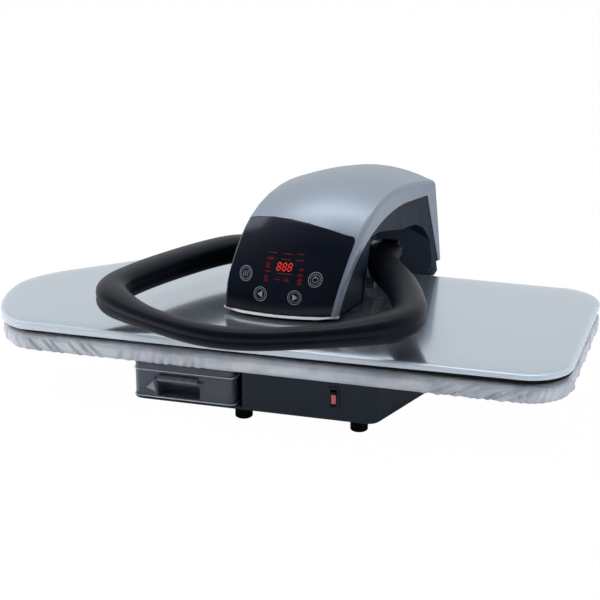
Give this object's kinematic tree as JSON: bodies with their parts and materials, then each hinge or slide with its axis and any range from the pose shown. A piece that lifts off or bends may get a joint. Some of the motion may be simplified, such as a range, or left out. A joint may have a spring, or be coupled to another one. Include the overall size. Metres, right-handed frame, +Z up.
{
  "type": "ironing press",
  "caption": "Steam ironing press: heated plate on a hinged arm above a padded board, loop handle, control head and slide-out water tank.",
  "frame": {"origin": "on the floor under the middle of the whole press", "axes": "+X along the board towards its square end, +Y from the handle towards the hinge, +Z up"},
  "size_m": [0.6427, 0.4379, 0.2305],
  "materials": {
    "silver_paint": "satin silver-grey paint",
    "black_plastic": "fine-grained moulding",
    "soft_black": "fine matt moulding",
    "gloss_black": "polished",
    "bright_steel": "polished",
    "zinc_steel": "zinc plated sheet",
    "cast_aluminium": "cast, ground working face",
    "foot_rubber": "matt",
    "smoke_clear": "smoke-tinted clear moulding",
    "silver_cloth": "woven, aluminised",
    "foam": "open-cell pad",
    "circuit": "laminate",
    "brass": "turned",
    "white_nylon": "moulded",
    "red_lens": "translucent red"
  },
  "bodies": {
    "base": {"base_shell": "black_plastic", "base_floor_plate": "zinc_steel", "foot_front_right": "foot_rubber", "foot_front_left": "foot_rubber", "foot_rear_right": "foot_rubber", "foot_rear_left": "foot_rubber", "cord_gland": "foot_rubber", "switch_housing": "gloss_black", "water_pump": "black_plastic", "tank_dock": "white_nylon", "inlet_hose": "foot_rubber", "outlet_hose": "foot_rubber", "mains_board": "circuit", "tower_frame": "zinc_steel", "tower_cover": "soft_black", "hinge_bush_left": "brass", "hinge_bush_right": "brass", "lift_spring_left": "bright_steel", "lift_spring_right": "bright_steel", "board_tray": "zinc_steel", "board_pad": "foam", "board_cover": "silver_cloth"},
    "rocker": {"power_rocker": "red_lens"},
    "tank": {"water_tank": "smoke_clear", "tank_lid": "soft_black", "tank_filler_plug": "soft_black", "tank_outlet_valve": "white_nylon"},
    "head": {"plate_cover": "silver_paint", "plate_rim": "soft_black", "heating_element": "bright_steel", "sole_plate": "cast_aluminium", "thermostat": "brass", "thermal_fuse": "white_nylon", "arm_frame": "zinc_steel", "plate_mount": "cast_aluminium", "neck_saddle": "soft_black", "steam_pipe": "brass", "head_cover": "silver_paint", "cheek_right": "soft_black", "cheek_left": "soft_black", "head_underside": "soft_black", "control_fascia": "gloss_black", "fascia_trim": "bright_steel", "control_board": "circuit", "display_module": "white_nylon", "hinge_shaft": "bright_steel", "shaft_ferrule": "bright_steel"},
    "handle": {"handle_upper_shell": "soft_black", "handle_lower_shell": "soft_black", "handle_core": "zinc_steel", "handle_hub_right": "soft_black", "handle_hub_left": "soft_black", "handle_shaft": "bright_steel", "pressure_cam": "brass"}
  },
  "joints": [
    {"name": "head_lift", "type": "hinge", "parent": "base", "child": "head", "pos_m": [0.022, 0.17015, 0.122], "axis": [-1, 0, 0], "range_deg": [0, 50]},
    {"name": "handle_swing", "type": "hinge", "parent": "head", "child": "handle", "pos_m": [0, 0.12015, 0.1405], "axis": [-1, 0, 0], "range_deg": [0, 16]},
    {"name": "water_tank_slide", "type": "slide", "parent": "base", "child": "tank", "axis": [0, -1, 0], "range_m": [0, 0.12]},
    {"name": "power_rocker_tilt", "type": "hinge", "parent": "base", "child": "rocker", "pos_m": [0.0735, -0.09385, 0.042], "axis": [-1, 0, 0], "range_deg": [0, 14]}
  ]
}
